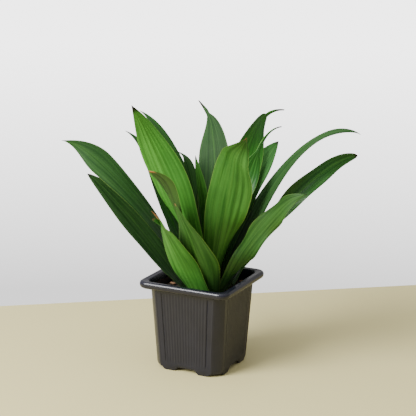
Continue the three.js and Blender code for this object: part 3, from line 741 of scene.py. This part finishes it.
GOLD = (1 + math.sqrt(5)) / 2
BALL_POINTS = [Vector(p).normalized() for p in
               [(-1, GOLD, 0), (1, GOLD, 0), (-1, -GOLD, 0), (1, -GOLD, 0),
                (0, -1, GOLD), (0, 1, GOLD), (0, -1, -GOLD), (0, 1, -GOLD),
                (GOLD, 0, -1), (GOLD, 0, 1), (-GOLD, 0, -1), (-GOLD, 0, 1)]]
BALL_FACES = [(0, 11, 5), (0, 5, 1), (0, 1, 7), (0, 7, 10), (0, 10, 11), (1, 5, 9),
              (5, 11, 4), (11, 10, 2), (10, 7, 6), (7, 1, 8), (3, 9, 4), (3, 4, 2),
              (3, 2, 6), (3, 6, 8), (3, 8, 9), (4, 9, 5), (2, 4, 11), (6, 2, 10),
              (8, 6, 7), (9, 8, 1)]
crumb_points, crumb_faces = [], []
for _ in range(CRUMBS):
    bearing = crumb_rng.uniform(0, 2 * math.pi)
    reach = math.sqrt(crumb_rng.uniform(0.12, 0.93)) * wall_reach(bearing, SOIL_TOP)
    x, y = STEM_X + reach * math.cos(bearing), STEM_Y + reach * math.sin(bearing)
    z = mix_height(x, y)
    big = crumb_rng.uniform(0.45, 1.5)
    size = (big, big * crumb_rng.uniform(0.6, 1), big * crumb_rng.uniform(0.5, 0.9))
    spin = crumb_rng.uniform(0, 3.14)
    if z < SOIL_TOP - 3:
        continue
    start = len(crumb_points)
    crumb_points += lump_points(crumb_rng, size, 1, spin, (x, y, z + 0.3 * big))
    crumb_faces += [tuple(start + i for i in f) for f in BALL_FACES]
crumbs = new_object("mix_crumbs", crumb_points, crumb_faces, mix_earth, 30)
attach(crumbs, "root")

# ---- Bark chips -----------------------------------------------------------------------
# Chips of pine bark on top of the mix, torn along the grain, tan where the inner face
# shows and brown outside. They lie loose on it, a few millimetres long.
chip_bark, tree, shader = new_material("chip_bark")
spot = node(tree, "ShaderNodeTexCoord").outputs["Object"]
cloud = use(tree, mottle, Position=spot, Blotch=300.0, Grain=2200.0, Grain_share=0.4)
bark = blend(tree, spread(tree, cloud["Mask"], 0.35, 0.65), (0.10, 0.045, 0.02, 1),
             (0.36, 0.19, 0.085, 1))
film = use(tree, dust, Position=spot, Amount=0.5, Patch=500.0)
bark = blend(tree, film["Mask"], bark, (0.05, 0.035, 0.025, 1))
tree.links.new(bark, shader.inputs["Base Color"])
shader.inputs["Roughness"].default_value = 0.8
skin = node(tree, "ShaderNodeBump", {"Strength": 0.7, "Distance": 0.0006,
                                     "Height": cloud["Height"]})
tree.links.new(skin.outputs[0], shader.inputs["Normal"])

chip_rng = random.Random(5)
for i in range(1, 13):
    low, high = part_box(f"bark_chip_{i:02d}")
    centre = (low + high) / 2 / MM
    reach = (high - low) / 2 / MM
    points = [(centre.x + p.x * reach.x * (1 + chip_rng.uniform(-0.2, 0.05)),
               centre.y + p.y * reach.y * (1 + chip_rng.uniform(-0.2, 0.05)),
               centre.z + p.z * reach.z * (1 + chip_rng.uniform(-0.2, 0.05)))
              for p in BALL_POINTS]
    chip = new_object(f"chip_{i:02d}", points, BALL_FACES, chip_bark, 25)
    finer = chip.modifiers.new("finer", "SUBSURF")
    finer.levels = finer.render_levels = 2
    finer.subdivision_type = "SIMPLE"
    bpy.context.view_layer.update()
    chip.data = bpy.data.meshes.new_from_object(
        chip.evaluated_get(bpy.context.evaluated_depsgraph_get()))
    chip.modifiers.clear()
    for corner in chip.data.vertices:
        p = corner.co / MM
        corner.co += Vector((noise.noise(p * 1.3), noise.noise(p * 1.3 + Vector((7, 0, 0))),
                             noise.noise(p * 2.1))) * 0.0005
    place(chip, f"bark_chip_{i:02d}")

# ---- Table ----------------------------------------------------------------------------
# A plain table top that the pot stands on, painted a pale sand colour with a dull finish.
# Its back edge shows, with an open pale room behind it.
table_paint, tree, shader = new_material("table_paint")
spot = node(tree, "ShaderNodeTexCoord").outputs["Object"]
cloud = use(tree, mottle, Position=spot, Blotch=6.0, Grain=300.0, Grain_share=0.2)
sand = blend(tree, cloud["Mask"], (0.60, 0.53, 0.245, 1), (0.64, 0.57, 0.27, 1))
tree.links.new(sand, shader.inputs["Base Color"])
shader.inputs["Roughness"].default_value = 0.75
table_corners = [(-1365, -1900, 0), (1184, -1900, 0), (1184, 1190, 0), (-1365, -754, 0)]
table = new_object("table_top", table_corners, [(0, 1, 2, 3)], table_paint)
table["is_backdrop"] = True

# ---- Light and camera -----------------------------------------------------------------
# Soft daylight from a broad source in front and to the left, a weaker one overhead, and
# pale walls all round. The camera looks down a little, at one corner of the pot.
CAMERA_TURN, CAMERA_RISE, CAMERA_ROLL = math.radians(26), math.radians(14), math.radians(0.6)
back = Vector((math.sin(CAMERA_TURN) * math.cos(CAMERA_RISE),
               -math.cos(CAMERA_TURN) * math.cos(CAMERA_RISE), math.sin(CAMERA_RISE)))
right = Vector((math.cos(CAMERA_TURN), math.sin(CAMERA_TURN), 0))
up = back.cross(right)
target = right * 0.005 + Vector((0, 0, 0.172))
rolled_right = right * math.cos(CAMERA_ROLL) + up * math.sin(CAMERA_ROLL)
rolled_up = up * math.cos(CAMERA_ROLL) - right * math.sin(CAMERA_ROLL)
lens = bpy.data.cameras.new("camera")
lens.lens, lens.sensor_width = 112.5, 36
camera = bpy.data.objects.new("camera", lens)
bpy.context.scene.collection.objects.link(camera)
turned = Matrix((rolled_right, rolled_up, back)).transposed().to_4x4()
camera.matrix_world = Matrix.Translation(target + back * 1.370) @ turned
bpy.context.scene.camera = camera


def soft_light(name, place_at, size, power):
    """A round soft light at a place in metres, aimed at the middle of the plant."""
    lamp = bpy.data.lights.new(name, "AREA")
    lamp.shape, lamp.size, lamp.energy = "DISK", size, power
    made = bpy.data.objects.new(name, lamp)
    bpy.context.scene.collection.objects.link(made)
    made.location = place_at
    aim = Vector((0, 0, 0.15)) - place_at
    made.rotation_euler = aim.to_track_quat("-Z", "Y").to_euler()


toward = Vector((back.x, back.y, 0)).normalized()
soft_light("window", toward * 0.95 - right * 1.35 + Vector((0, 0, 1.15)), 1.2, 90)
soft_light("ceiling", toward * 0.3 - right * 0.2 + Vector((0, 0, 2.0)), 1.6, 16)

world = bpy.data.worlds.new("room")
world.use_nodes = True
# The wall behind is seen brighter than the light it sends out, and brighter higher up.
WALL_LIGHT = 0.62
room = world.node_tree
seen = node(room, "ShaderNodeLightPath").outputs["Is Camera Ray"]
rise = node(room, "ShaderNodeSeparateXYZ",
            {0: node(room, "ShaderNodeTexCoord").outputs["Generated"]}).outputs["Z"]
shine = spread(room, rise, -0.3, -0.12, 1.4, 4.0)
seen_shine = node(room, "ShaderNodeMix",
                  {"Factor": seen, 2: WALL_LIGHT, 3: shine}).outputs[0]
room.links.new(seen_shine, room.nodes["Background"].inputs["Strength"])
room.nodes["Background"].inputs["Color"].default_value = (1.0, 0.992, 0.995, 1)
bpy.context.scene.world = world

low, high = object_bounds()
